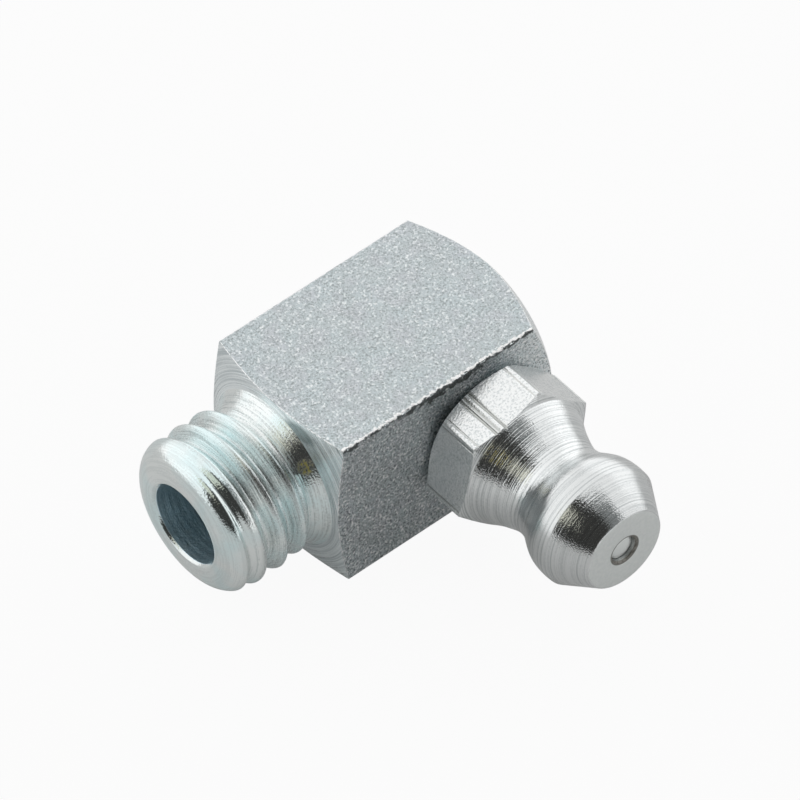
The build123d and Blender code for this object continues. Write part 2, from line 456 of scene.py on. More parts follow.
# %% Nipple outline
TIP, HEX_BACK, HEX_FRONT, HEX = 14.4, 4.5, 7.35, 3.5
HEX_SEAT, HEX_CLEAR = 3.2, 4.6          # the hexagon's chamfer starts here, and this is outside its corners
CHANNEL, CHAMBER, SHOULDER = 0.85, 1.375, 7.4
SEAT_FRONT, SEAT_LONG, SEAT = TIP - 0.26, 0.65, 0.725
THROAT_BACK, THROAT_FRONT = TIP - 0.235, TIP - 0.10
OPENING, TIP_DISC = 0.79, 2.17
SPIGOT, SPIGOT_END, CHAMFER = 2.98, 2.2, 0.3
neck_points = [
    (12.55, 3.27), (12.3, 3.285), (12.0, 3.28), (11.6, 3.235), (11.2, 3.12),
    (10.8, 2.92), (10.4, 2.70), (10.0, 2.59), (9.6, 2.57), (9.2, 2.65),
    (8.8, 2.79), (8.4, 2.945), (8.0, 3.14), (7.65, 3.34), (7.35, 3.49),
]


def through(points, steps):
    """A smooth curve through points, with so many steps from each to the next."""
    run = [points[0]] + list(points) + [points[-1]]
    line = []
    for i in range(1, len(run) - 2):
        p0, p1, p2, p3 = (Vector(p) for p in run[i - 1:i + 3])
        for step in range(steps):
            t = step / steps
            line.append(
                (p1 * 2 + (p2 - p0) * t + (p0 * 2 - p1 * 5 + p2 * 4 - p3) * t * t
                 + (p1 * 3 - p0 - p2 * 3 + p3) * t ** 3) / 2
            )
    line.append(Vector(points[-1]))
    return [tuple(point) for point in line]


nipple_corners = [
    (SPIGOT_END, CHANNEL),
    (SHOULDER, CHANNEL),
    (SHOULDER, CHAMBER),
    (SEAT_FRONT - SEAT_LONG, CHAMBER),
    (SEAT_FRONT, SEAT),
    (THROAT_BACK, 0.665),
    (THROAT_FRONT, 0.69),
    (TIP, OPENING),
    (TIP, TIP_DISC),
    *through(neck_points, 5),
    (HEX_FRONT - (HEX_CLEAR - HEX) * tan(radians(20)), HEX_CLEAR),
    (HEX_BACK + (HEX_CLEAR - HEX_SEAT) * tan(radians(30)), HEX_CLEAR),
    (HEX_BACK, HEX_SEAT),
    (HEX_BACK, SPIGOT),
    (SPIGOT_END + CHAMFER, SPIGOT),
    (SPIGOT_END, SPIGOT - CHAMFER),
    (SPIGOT_END, CHANNEL),
]
nipple = draw_outline("fitting_nipple", NIPPLE, nipple_corners)
round_corner(nipple, NIPPLE, (TIP, TIP_DISC), radius=0.16, turn=60, segments=5)
round_corner(nipple, NIPPLE, (TIP, OPENING), radius=0.06, turn=45, segments=3)
spin(nipple, NIPPLE, steps=240)
print(len(nipple_corners), "corners drawn and spun")

# %% [markdown]
# The hexagon is sliced out of the turning like the square, so its chamfers leave the same curved lines that
# a real bar nut shows.  It stands a little turned, as it happened to stop when it was screwed tight.

# %% Cut the hexagon
HEX_TURN = 14.8
HEX_EDGE = 0.12                         # how round the hexagon bar's edges are
hex_normals = []
for k in range(6):
    lean = radians(HEX_TURN + 60 * k)
    hex_normals.append(Vector((-sin(lean), 0, cos(lean))))
for outwards in hex_normals:
    cut_flat(nipple, outwards, HEX)
for k in range(6):
    for lean in (15, 30, 45):
        turn = radians(HEX_TURN + 60 * k + lean)
        beyond = (HEX - HEX_EDGE) / cos(radians(30)) * cos(radians(lean - 30)) + HEX_EDGE
        cut_flat(nipple, Vector((-sin(turn), 0, cos(turn))), beyond)
bpy.ops.object.mode_set(mode="OBJECT")
print(count(nipple))

# %% [markdown]
# One flat of the hexagon carries a shallow groove along the bar, pressed in when the bar was drawn.  A bump
# in the finish would vanish in a side light, so the groove is real: a small bar of its section, extruded
# along the flat and taken away from it, cuts it.

# %% Groove along the upper flat
GROOVE_FROM, GROOVE_LONG = 4.0, 4.2
flat_out = hex_normals[0]
flat_side = Vector((-flat_out.z, 0, flat_out.x))        # along the flat, towards the shank


def on_flat(side, height, along):
    """A point over the upper flat: millimetres from its middle, above it, and along the nipple."""
    return CENTRE + flat_out * (HEX + height) * MM + flat_side * side * MM + NIPPLE * along * MM


groove_section = [
    (0.06, 0.30), (0.06, 0.001), (0.14, -0.03), (0.20, -0.07), (0.25, -0.07), (0.30, -0.03), (0.34, -0.008),
    (0.43, -0.008), (0.48, -0.035), (0.53, -0.06), (0.58, -0.055), (0.62, -0.03), (0.66, -0.035),
    (0.71, -0.075), (0.77, -0.075), (0.83, -0.03), (0.90, 0.001), (0.90, 0.30),
]
here = on_flat(*groove_section[0], GROOVE_FROM)
bar = start_mesh("bar", here)
for side, height in groove_section[1:] + groove_section[:1]:
    there = on_flat(side, height, GROOVE_FROM)
    bpy.ops.mesh.extrude_region_move(TRANSFORM_OT_translate={"value": there - here})
    here = there
bpy.ops.mesh.select_all(action="SELECT")
bpy.ops.mesh.remove_doubles(threshold=SEAM)
bpy.ops.mesh.select_all(action="SELECT")
bpy.ops.mesh.edge_face_add()
bpy.ops.mesh.extrude_region_move(TRANSFORM_OT_translate={"value": NIPPLE * GROOVE_LONG * MM})
bpy.ops.mesh.select_all(action="SELECT")
bpy.ops.mesh.normals_make_consistent(inside=False)
bpy.ops.object.mode_set(mode="OBJECT")
take_away(nipple, bar)
print(count(nipple))

# %% [markdown]
# The hexagon was tumbled with everything else, so its edges get the same narrow bevel as the block's.  It
# comes after the groove, because the groove's own edges are worn by the same tumbling.

# %% Soften the hexagon's edges
HEX_TUMBLED = 0.05


def hex_edge(edge):
    if len(edge.link_faces) != 2 or edge.calc_face_angle(0) < radians(14):
        return False
    middle = (edge.verts[0].co + edge.verts[1].co) / 2 - CENTRE
    middle /= MM
    out = max(middle.dot(normal) for normal in hex_normals)
    return out > HEX - 0.004 and 4.45 < -middle.y < 7.5


edit(nipple)
found = pick(nipple, "edges", hex_edge)
bpy.ops.mesh.bevel(offset=HEX_TUMBLED * MM, segments=2, profile=0.5, affect="EDGES", clamp_overlap=True)
bpy.ops.object.mode_set(mode="OBJECT")
print(found, "edges softened;", count(nipple))

# %% [markdown]
# The ball is a plain bearing ball.  A sphere is its real shape, so here the primitive is the finished form,
# with enough rings to stay round when only its crown shows in the opening.

# %% Ball
BALL, BALL_AT = 1.2, 13.1385
bpy.ops.object.select_all(action="DESELECT")
bpy.ops.mesh.primitive_uv_sphere_add(
    segments=96, ring_count=48, radius=BALL * MM, location=CENTRE + NIPPLE * BALL_AT * MM
)
ball = bpy.context.object
ball.name = "check_ball_steel"
bpy.ops.object.transform_apply(location=True)
print(count(ball))

# %% [markdown]
# A small coil spring holds the ball on its seat.  A new one could be wound with a Screw modifier, but the
# solid already has its real shape.  So a copy of it becomes a piece of its own.

# %% Spring
SPRING_FOOT = -SHOULDER
bpy.ops.object.select_all(action="DESELECT")
frame["nodes"]["spring"].select_set(True)
bpy.context.view_layer.objects.active = frame["nodes"]["spring"]
bpy.ops.object.duplicate()
coil = bpy.context.object
coil.name = "seat_spring"
for key in list(coil.keys()):
    del coil[key]
bpy.ops.object.parent_clear(type="CLEAR_KEEP_TRANSFORM")
bpy.ops.object.transform_apply(location=True, rotation=True, scale=True)
spring_length = SPRING_FOOT - min(vertex.co.y for vertex in coil.data.vertices) / MM
print(count(coil), "spring length", round(spring_length, 2), "mm")

# %% [markdown]
# Round surfaces are shaded smooth, and flats keep crisp edges.  Edges could be marked sharp by hand, but
# one limit angle does it all: it lies above the steps of every arc, and just below the 30 degrees of the
# ring where the relief begins.  Weighted normals then keep the large flats flat beside their narrow bevels.

# %% Smooth shading with crisp flats
STRAY = 0.0003 * MM                     # cuts and booleans leave a few points that lie almost on each other
for piece in (elbow, nipple, ball, coil):
    edit(piece)
    bpy.ops.mesh.select_all(action="SELECT")
    bpy.ops.mesh.remove_doubles(threshold=STRAY)
    bpy.ops.object.mode_set(mode="OBJECT")
    bpy.ops.object.select_all(action="DESELECT")
    piece.select_set(True)
    bpy.context.view_layer.objects.active = piece
    bpy.ops.object.shade_smooth_by_angle(angle=radians(28))
    weighted = piece.modifiers.new("weighted", "WEIGHTED_NORMAL")
    weighted.keep_sharp = True
    bpy.ops.object.modifier_apply(modifier=weighted.name)
    print(count(piece))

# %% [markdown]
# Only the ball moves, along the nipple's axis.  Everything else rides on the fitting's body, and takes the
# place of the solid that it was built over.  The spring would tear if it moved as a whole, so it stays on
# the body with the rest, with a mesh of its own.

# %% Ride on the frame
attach(elbow, "fitting")
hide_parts("elbow_body")
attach(nipple, "fitting")
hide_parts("nipple")
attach(ball, "ball")
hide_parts("check_ball")
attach(coil, "fitting")
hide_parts("spring")
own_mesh(coil)

# %% [markdown]
# Zinc plate is a bluish white metal.  All its look is mirror light: the colour stays plain, and the fine
# relief of each surface decides how it spreads.  Node trees can be built by hand in the shader editor, but
# in code they get long, so the helpers below each add one node, or a few that belong together.

# %% Node helpers


def new_material(name):
    material = bpy.data.materials.new(name)
    material.use_nodes = True
    material.node_tree.nodes.clear()
    return material, material.node_tree


def node(tree, kind, **settings):
    """Add a node and set its plain properties."""
    made = tree.nodes.new(kind)
    for key, value in settings.items():
        setattr(made, key, value)
    return made


def feed(tree, socket, source):
    """Plug a socket or a plain value into an input."""
    if isinstance(source, bpy.types.NodeSocket):
        tree.links.new(source, socket)
    else:
        socket.default_value = source


def math(tree, operation, *inputs):
    made = node(tree, "ShaderNodeMath", operation=operation)
    for socket, source in zip(made.inputs, inputs):
        feed(tree, socket, source)
    return made.outputs[0]


def both(tree, first, second):
    """Two masks at once, or a height under a mask: full only where both are."""
    return math(tree, "MULTIPLY", first, second)


def ramp(tree, source, low, high, to_low=0.0, to_high=1.0):
    """Stretch a range of values, with its ends held."""
    made = node(tree, "ShaderNodeMapRange")
    for index, value in enumerate((source, low, high, to_low, to_high)):
        feed(tree, made.inputs[index], value)
    return made.outputs[0]


print("node helpers ready")

# %% [markdown]
# Patterns are read in object coordinates, turned into millimetres, so that every number below is a size on
# the real fitting.  Generated coordinates would stretch with each piece's box.  Bare metal is one shader
# with one bump, and only its colour, roughness and relief differ from finish to finish.

# %% Colour and pattern helpers


def noise_at(tree, vector, scale, detail=2.0, rough=0.5):
    made = node(tree, "ShaderNodeTexNoise")
    feed(tree, made.inputs["Vector"], vector)
    made.inputs["Scale"].default_value = scale
    made.inputs["Detail"].default_value = detail
    made.inputs["Roughness"].default_value = rough
    return made.outputs["Fac"]


def total(tree, *parts):
    """Add up heights, each given as (value, share)."""
    result = None
    for value, share in parts:
        scaled = math(tree, "MULTIPLY", value, share)
        result = scaled if result is None else math(tree, "ADD", result, scaled)
    return result


def mix_colour(tree, factor, first, second):
    """From the first colour to the second; a Mix node keeps its colours in sockets 6, 7 and 2."""
    made = node(tree, "ShaderNodeMix", data_type="RGBA")
    feed(tree, made.inputs[0], factor)
    feed(tree, made.inputs[6], first)
    feed(tree, made.inputs[7], second)
    return made.outputs[2]


def millimetres(tree):
    """Object coordinates in millimetres, measured from where the two axes cross."""
    place = node(tree, "ShaderNodeTexCoord").outputs["Object"]
    moved = node(tree, "ShaderNodeVectorMath", operation="SUBTRACT")
    tree.links.new(place, moved.inputs[0])
    moved.inputs[1].default_value = CENTRE
    scaled = node(tree, "ShaderNodeVectorMath", operation="SCALE")
    tree.links.new(moved.outputs[0], scaled.inputs[0])
    scaled.inputs["Scale"].default_value = 1 / MM
    return scaled.outputs[0]


def x_y_z(tree, place):
    parts = node(tree, "ShaderNodeSeparateXYZ")
    tree.links.new(place, parts.inputs[0])
    return parts.outputs


def metal(material, colour, roughness, height, distance, bare=1.0):
    """Bare metal with relief; the distance says how many millimetres a height of 1 is."""
    tree = material.node_tree
    bump = node(tree, "ShaderNodeBump")
    feed(tree, bump.inputs["Height"], height)
    bump.inputs["Distance"].default_value = distance * MM
    shader = node(tree, "ShaderNodeBsdfPrincipled")
    feed(tree, shader.inputs["Base Color"], colour)
    feed(tree, shader.inputs["Roughness"], roughness)
    feed(tree, shader.inputs["Metallic"], bare)
    tree.links.new(bump.outputs["Normal"], shader.inputs["Normal"])
    output = node(tree, "ShaderNodeOutputMaterial")
    tree.links.new(shader.outputs[0], output.inputs[0])
    print(material.name, "has", len(tree.nodes), "nodes")


print("colour helpers ready")

# %% [markdown]
# The block's flats are the drawn skin of the bar.  Pickling before the plating bath pits that skin, so
# under the zinc it is covered in tiny dimples, each with its own small highlight.  Real dimples would take
# millions of faces.  Three noises of different grain make them in the bump instead, and paint into the
# colour a small highlight on each dimple and shade in its hollow; a slow one clouds the plate.

# %% Drawn flats
ZINC_GREY = (0.53, 0.575, 0.59, 1.0)
flats_zinc, tree = new_material("zinc_on_drawn_flats")
place = millimetres(tree)
x, y, z = x_y_z(tree, place)
dimples = noise_at(tree, place, 8.5, 1.5, 0.6)
specks = noise_at(tree, place, 6.3, 2.0, 0.6)
grain = noise_at(tree, place, 17.0, 1.0, 0.6)
cloud = noise_at(tree, place, 0.5, 3.0)
tints = noise_at(tree, place, 0.9, 1.0)
side_on = ramp(tree, y, -4.3, -4.4)     # on the flat that carries the nipple, the painted pit shade is darker and the painted glints brighter
tint = mix_colour(tree, ramp(tree, cloud, 0.35, 0.7), ZINC_GREY, (0.53, 0.595, 0.615, 1.0))
tint = mix_colour(tree, ramp(tree, tints, 0.45, 0.65, 0.0, 0.5), tint, (0.54, 0.55, 0.585, 1.0))
# painted light: the flat that carries the nipple grows paler towards the far end, as if lit more strongly
# from that side
pale = both(tree, side_on, ramp(tree, x, 0.6, 3.2, 0.0, 0.8))
tint = mix_colour(tree, pale, tint, (0.86, 0.92, 0.93, 1.0))
# painted shade in the hollows of the dimples
painted_pit_shade = ramp(tree, total(tree, (dimples, 0.6), (grain, 0.4)), 0.50, 0.34)
pit_shade_colour = mix_colour(tree, side_on, (0.33, 0.365, 0.37, 1.0), (0.17, 0.19, 0.20, 1.0))
# painted glints, small highlights on the dimples
painted_glints = ramp(tree, total(tree, (dimples, 0.5), (specks, 0.5), (side_on, 0.02)), 0.53, 0.66)
glint_colour = mix_colour(tree, side_on, (0.84, 0.87, 0.875, 1.0), (1.0, 1.0, 1.0, 1.0))
skin = mix_colour(tree, painted_glints, mix_colour(tree, painted_pit_shade, tint, pit_shade_colour), glint_colour)
height = total(tree, (dimples, 1.0), (specks, 0.5), (grain, 0.3))
print(flats_zinc.name, "so far has", len(tree.nodes), "nodes")

# %% [markdown]
# The burr above the nipple catches the light on its lip, and just below it the side face lies in shade,
# darkest where it mirrors the hexagon.  Both are thinner than the steps of the mesh, so a painted highlight
# and a painted shade band are laid into the colour, by the distance across the edge: below zero on the top
# flat, above zero on the side.  Noise along the edge moves their borders in and out.

# %% Painted highlight and shade along the torn edge
over = math(tree, "SUBTRACT", math(tree, "SUBTRACT", HALF, z), math(tree, "ADD", y, HALF))
near_edge = both(tree, ramp(tree, y, -4.05, -4.15), ramp(tree, z, 3.6, 3.7))
lip_top = ramp(tree, noise_at(tree, place, 5.3, 2.0), 0.35, 0.65, -0.14, -0.27)
lip_foot = ramp(tree, noise_at(tree, place, 4.1, 3.0, 0.7), 0.35, 0.65, -0.16, 0.04)
below_top = math(tree, "SUBTRACT", over, lip_top)
below_foot = math(tree, "SUBTRACT", over, lip_foot)
lip_highlight = both(tree, ramp(tree, below_top, -0.02, 0.02), ramp(tree, below_foot, 0.02, -0.02))
middle = both(tree, ramp(tree, x, -5.0, -3.4), ramp(tree, x, 0.6, -0.6))        # where the painted shade band is deepest, beside the hexagon
depth = both(tree, ramp(tree, noise_at(tree, place, 2.6, 3.0, 0.7), 0.38, 0.62, 0.1, 0.55),
             ramp(tree, middle, 0.0, 1.0, 0.45, 1.0))
# painted shade: a ragged dark band under the lip, for shade and the hexagon's dark reflection
painted_shade_band = both(tree, ramp(tree, below_foot, -0.02, 0.02),
            ramp(tree, math(tree, "SUBTRACT", over, depth), 0.05, -0.05))
colour = mix_colour(tree, both(tree, painted_shade_band, near_edge), skin, (0.10, 0.11, 0.11, 1.0))
# painted highlight along the lip of the burr
colour = mix_colour(tree, both(tree, lip_highlight, near_edge), colour, (0.96, 0.96, 0.95, 1.0))
metal(flats_zinc, colour, ramp(tree, grain, 0.3, 0.7, 0.28, 0.40), height, 0.055)

# %% [markdown]
# The tumbled edges are rubbed brighter than the flats, with small nicks.  One noise gives the nicks their
# colour and their depth, so that the two always agree.

# %% Tumbled edges
edge_zinc, tree = new_material("zinc_on_edges")
place = millimetres(tree)
nicks = noise_at(tree, place, 5.0, 3.0, 0.7)
colour = mix_colour(tree, ramp(tree, nicks, 0.38, 0.55), (0.50, 0.54, 0.55, 1.0), (0.93, 0.94, 0.94, 1.0))
metal(edge_zinc, colour, 0.26, nicks, 0.04)

# %% [markdown]
# A turning tool leaves a fine spiral.  Seen in the plate it is a bundle of hair-thin rings, brighter and
# darker as each ridge tips towards the light, and it never runs quite even.  A Wave texture would draw
# rings that are too regular.  Noise on stretched coordinates, fine from ring to ring and slow round the
# axis, wanders as the real marks do.

# %% Tool marks


def lathe_marks(tree, place, axis, across, around):
    """Coordinates for tool marks: fine from ring to ring, slow round the axis."""
    x, y, z = x_y_z(tree, place)
    along, aside = (x, y) if axis == "X" else (y, x)
    squared = math(tree, "ADD", math(tree, "MULTIPLY", z, z), math(tree, "MULTIPLY", aside, aside))
    radius = math(tree, "SQRT", squared)
    joined = node(tree, "ShaderNodeCombineXYZ")
    reach = math(tree, "SUBTRACT", math(tree, "ABSOLUTE", along), radius)
    feed(tree, joined.inputs[0], math(tree, "MULTIPLY", reach, across))
    feed(tree, joined.inputs[1], math(tree, "MULTIPLY", aside, around))
    feed(tree, joined.inputs[2], math(tree, "MULTIPLY", z, around))
    return joined.outputs[0], along, radius


def soft_spot(tree, place, centre, reach):
    """A soft round spot: 1 at the centre, 0 at the given reach along each axis."""
    moved = node(tree, "ShaderNodeVectorMath", operation="SUBTRACT")
    tree.links.new(place, moved.inputs[0])
    moved.inputs[1].default_value = centre
    shrunk = node(tree, "ShaderNodeVectorMath", operation="DIVIDE")
    tree.links.new(moved.outputs[0], shrunk.inputs[0])
    shrunk.inputs[1].default_value = reach
    far = node(tree, "ShaderNodeVectorMath", operation="LENGTH")
    tree.links.new(shrunk.outputs[0], far.inputs[0])
    return ramp(tree, far.outputs["Value"], 0.55, 1.0, 1.0, 0.0)


print("tool mark helpers ready")

# %% [markdown]
# The sloping face round the shank and the cone at the far end were left as the tool turned them.  Coarse
# rings give the main lines and fine scratches break them up.  The far cone mirrors the floor at a grazing
# angle, so it is painted lighter, and two pairs of colours change over near the middle.

# %% Turned faces of the elbow
CORNER_SHADE_AT, CORNER_SHADE_REACH = (-8.85, -1.9, 3.98), (0.6, 1.25, 0.5)     # painted shade in the concave corner over the relief
turned_zinc, tree = new_material("zinc_on_turned_faces")
place = millimetres(tree)
marks, along, _ = lathe_marks(tree, place, "X", 8.0, 0.06)
rings = noise_at(tree, marks, 1.0, 1.5, 0.6)
scratches = noise_at(tree, lathe_marks(tree, place, "X", 15.0, 0.5)[0], 1.0, 0.0)
grain = noise_at(tree, place, 14.0, 1.0, 0.6)
height = total(tree, (rings, 1.0), (scratches, 0.3), (grain, 0.12))
lines = total(tree, (rings, 0.6), (scratches, 0.25), (grain, 0.15))
far_cone = ramp(tree, along, 0.0, 1.0)
# painted light: the far cone gets a lighter pair of colours than the sloping face
low = mix_colour(tree, far_cone, (0.60, 0.66, 0.68, 1), (0.82, 0.88, 0.89, 1))
high = mix_colour(tree, far_cone, (0.92, 0.97, 0.98, 1), (0.97, 0.99, 0.99, 1))
# ring colours: painted shade in the valleys of the tool marks, painted light on their ridges
colour = mix_colour(tree, ramp(tree, lines, 0.38, 0.58), low, high)
# painted shade: a dark patch in the corner over the relief
painted_corner_shade = math(tree, "MULTIPLY", soft_spot(tree, place, CORNER_SHADE_AT, CORNER_SHADE_REACH), 0.8)
colour = mix_colour(tree, painted_corner_shade, colour, (0.20, 0.25, 0.25, 1))
metal(turned_zinc, colour, 0.2, height, 0.045)

# %% [markdown]
# A die tears as much as it cuts.  The thread shows long broken streaks that follow the cut, dull at the
# root and bright on the crests, and a blue cast from the plating bath.  The streaks could follow the helix,
# but over so few turns plain rings look the same.  The nose was never cut, so the marks fade out towards
# it.  An amber patch over the relief is a painted reflection of something warm beside the camera.

# %% Thread
AMBER = (0.55, 0.49, 0.15, 1.0)         # colour of a painted warm reflection
WARM_PATCH_AT, WARM_PATCH_REACH = (-9.26, -2.78, 2.68), (0.48, 0.48, 0.48)
thread_zinc, tree = new_material("zinc_on_thread")
place = millimetres(tree)
marks, along, _ = lathe_marks(tree, place, "X", 8.0, 0.35)
rings = noise_at(tree, marks, 1.0, 2.0, 0.6)
tears = noise_at(tree, lathe_marks(tree, place, "X", 3.2, 0.25)[0], 1.0, 2.0, 0.6)
cloud = noise_at(tree, place, 0.45, 2.0)
grain = noise_at(tree, place, 10.0, 1.5, 0.6)
cut = both(tree, ramp(tree, along, -13.3, -12.5, 0.12, 1.0), ramp(tree, along, -9.3, -9.9, 0.35, 1.0))
height = total(tree, (both(tree, tears, cut), 0.5), (both(tree, rings, cut), 0.6), (grain, 0.22))
tint = mix_colour(tree, ramp(tree, cloud, 0.4, 0.62), (0.88, 0.915, 0.905, 1.0), (0.76, 0.89, 0.90, 1.0))
lines = total(tree, (rings, 0.7), (grain, 0.3))
bright = math(tree, "MAXIMUM", ramp(tree, lines, 0.36, 0.52), ramp(tree, along, -12.7, -13.3, 0.0, 0.75))
colour = mix_colour(tree, bright, (0.55, 0.605, 0.605, 1.0), tint)
polish = math(tree, "ADD", ramp(tree, cut, 0.3, 1.0, 0.0, 0.17), ramp(tree, grain, 0.3, 0.7, 0.08, 0.16))
# painted reflection: an amber patch over the relief
warm_reflection = both(tree, soft_spot(tree, place, WARM_PATCH_AT, WARM_PATCH_REACH),
            ramp(tree, noise_at(tree, place, 9.0, 1.0), 0.38, 0.60, 0.15, 1.0))
colour = mix_colour(tree, warm_reflection, colour, AMBER)
metal(thread_zinc, colour, polish, height, 0.05, bare=ramp(tree, warm_reflection, 0.0, 1.0, 1.0, 0.25))

# %% [markdown]
# Little current reaches into a bore in the plating bath, so the zinc there is thin, rough and bluer.  A
# rougher metal and a deeper colour are enough, since only the first millimetres show.

# %% Bores
bore_zinc, tree = new_material("zinc_in_bores")
place = millimetres(tree)
marks = lathe_marks(tree, place, "X", 5.0, 0.2)[0]
height = total(tree, (noise_at(tree, marks, 1.0, 2.0), 1.0), (noise_at(tree, place, 8.0, 2.0), 0.8))
colour = mix_colour(tree, noise_at(tree, place, 3.0, 3.0), (0.60, 0.75, 0.82, 1), (0.74, 0.87, 0.92, 1))
metal(bore_zinc, colour, 0.42, height, 0.02)

# %% [markdown]
# The nipple's neck shows the coarsest turning marks, because it was formed with a sweep of a pointed tool.
# The head was burnished smoother, so that a grease gun's jaws can slide over it.  One material carries
# both, with the marks fading between them, because a border between two materials would show as a line.

# %% Nipple's turned surfaces
NECK_WARM_AT, NECK_WARM_REACH = (-2.1, -7.9, 2.45), (0.55, 1.1, 0.55)
nipple_zinc, tree = new_material("zinc_on_turned_nipple")
place = millimetres(tree)
marks, along, _ = lathe_marks(tree, place, "Y", 8.0, 0.05)
rings = noise_at(tree, marks, 1.0, 1.5, 0.6)
scratches = noise_at(tree, lathe_marks(tree, place, "Y", 15.0, 0.4)[0], 1.0, 0.0)
neck = ramp(tree, along, -11.0, -10.0, 0.45, 1.0)
grain = noise_at(tree, place, 14.0, 1.0, 0.6)
lines = total(tree, (rings, 0.75), (scratches, 0.25))
height = total(tree, (both(tree, lines, neck), 1.0), (grain, 0.36))
# painted shade in the valleys of the tool marks, strongest on the neck
painted_valley_shade = both(tree, ramp(tree, total(tree, (lines, 0.8), (grain, 0.2)), 0.54, 0.38),
            ramp(tree, neck, 0.45, 1.0, 0.8, 1.0))
colour = mix_colour(tree, painted_valley_shade, (0.84, 0.86, 0.86, 1.0), (0.54, 0.57, 0.575, 1.0))
burnished = node(tree, "ShaderNodeVectorMath", operation="SCALE")
tree.links.new(colour, burnished.inputs[0])
feed(tree, burnished.inputs["Scale"], ramp(tree, along, -10.4, -11.2, 1.0, 0.88))
# painted reflection: amber flecks on the neck, where it mirrors something warm
warm_reflection = both(tree, soft_spot(tree, place, NECK_WARM_AT, NECK_WARM_REACH),
            both(tree, ramp(tree, lines, 0.50, 0.42), ramp(tree, grain, 0.42, 0.56)))
colour = mix_colour(tree, warm_reflection, burnished.outputs[0], (0.72, 0.62, 0.20, 1.0))
polish = ramp(tree, grain, 0.3, 0.7, 0.10, 0.16)
metal(nipple_zinc, colour, polish, height, 0.028, bare=ramp(tree, warm_reflection, 0.0, 1.0, 1.0, 0.3))

# %% [markdown]
# The hexagon's flats are drawn bar like the block's, but finer, with a darker, slightly sunk line along
# each edge.  That line needs to know how far a point is from the edges of its own flat.  Six painted masks
# would do it; wrapping the angle round the axis into one sixth of a turn gives all six flats at once.  The
# pressed groove gets painted shade, darker by how far it lies below the flat.

# %% Hexagon flats
EDGE_LINE_AT = 1.79                        # a darker, slightly sunk line beside each edge, this far from the middle of the flat
hex_zinc, tree = new_material("zinc_on_hexagon_flats")
place = millimetres(tree)
x, _, z = x_y_z(tree, place)
radius = math(tree, "SQRT", math(tree, "ADD", math(tree, "MULTIPLY", x, x), math(tree, "MULTIPLY", z, z)))
turned = math(tree, "ARCTAN2", math(tree, "MULTIPLY", x, -1.0), z)
lean = math(tree, "WRAP", math(tree, "SUBTRACT", turned, radians(HEX_TURN)), radians(30), radians(-30))
side = math(tree, "ABSOLUTE", math(tree, "MULTIPLY", radius, math(tree, "SINE", lean)))
below = math(tree, "SUBTRACT", HEX, math(tree, "MULTIPLY", radius, math(tree, "COSINE", lean)))
edge_line = ramp(tree, math(tree, "ABSOLUTE", math(tree, "SUBTRACT", side, EDGE_LINE_AT)), 0.02, 0.07, 1.0, 0.0)
dimples = noise_at(tree, place, 9.0, 2.0, 0.6)
smooth = ramp(tree, dimples, 0.36, 0.52)
colour = mix_colour(tree, smooth, (0.68, 0.715, 0.72, 1.0), (0.90, 0.915, 0.91, 1.0))
# painted shade in the pressed groove, by its depth, and the darker line beside each edge
groove_shade_and_edge_line = math(tree, "MAXIMUM", math(tree, "MULTIPLY", edge_line, 0.6), ramp(tree, below, 0.012, 0.06))
colour = mix_colour(tree, groove_shade_and_edge_line, colour, (0.55, 0.565, 0.545, 1.0))
metal(hex_zinc, colour, 0.24, total(tree, (dimples, 1.0), (edge_line, -1.5)), 0.02)

# %% [markdown]
# The tip was faced off square, so it looks matt.  Painted shade darkens a thin ring round the opening,
# and the throat behind it, where the gap round the ball lies in shade.  The ring could be a piece of its
# own, but it is narrower than a hair, so it is painted by radius.

# %% Tip disc
tip_zinc, tree = new_material("zinc_on_faced_tip")
place = millimetres(tree)
marks, along, radius = lathe_marks(tree, place, "Y", 5.0, 0.1)
height = total(tree, (noise_at(tree, marks, 1.0, 3.0), 1.0), (noise_at(tree, place, 9.0, 2.0), 0.8))
colour = mix_colour(tree, noise_at(tree, place, 5.0, 3.0), (0.70, 0.74, 0.73, 1.0), (0.88, 0.90, 0.89, 1.0))
# painted shade in the throat behind the opening
in_throat = ramp(tree, along, -14.32, -14.28)
colour = mix_colour(tree, in_throat, colour, (0.45, 0.46, 0.45, 1.0))
# painted shade: a thin dark ring round the opening
gap_shade_ring = both(tree, ramp(tree, radius, 0.87, 0.84), ramp(tree, along, -14.36, -14.38))
colour = mix_colour(tree, gap_shade_ring, colour, (0.22, 0.22, 0.20, 1.0))
metal(tip_zinc, colour, 0.33, height, 0.014)

# %% [markdown]
# The gap between the rim and the ball lies in shade.  A piece for it would be thinner than a hair, so
# the rim's own slope gets painted shade: a dark, dull finish that is only half metal.

# %% Rim of the opening
gap_zinc, tree = new_material("painted_shade_in_gap")
place = millimetres(tree)
gap_shade_noise = noise_at(tree, place, 6.0, 2.0)
# painted shade in the gap round the ball
colour = mix_colour(tree, ramp(tree, gap_shade_noise, 0.4, 0.6), (0.17, 0.16, 0.145, 1.0), (0.34, 0.33, 0.30, 1.0))
metal(gap_zinc, colour, 0.5, gap_shade_noise, 0.01, bare=0.6)

# %% [markdown]
# The ball is hard plain steel, a little matt, and the spring is oiled wire.  Neither is plated, so they get
# plain metals of their own, greyer than the zinc.

# %% Ball and spring
ball_metal, tree = new_material("matt_ball_steel")
metal(ball_metal, (0.80, 0.83, 0.82, 1.0), 0.32, noise_at(tree, millimetres(tree), 6.0, 2.0), 0.010)
spring_metal, tree = new_material("oiled_spring_wire")
metal(spring_metal, (0.45, 0.44, 0.42, 1.0), 0.3, noise_at(tree, millimetres(tree), 8.0, 2.0), 0.004)

# %% [markdown]
# Each piece carries several finishes.  By hand you would select faces and press Assign.  Here every face is
# asked where it is, and takes the finish of that surface, so the borders follow the shape if it changes.

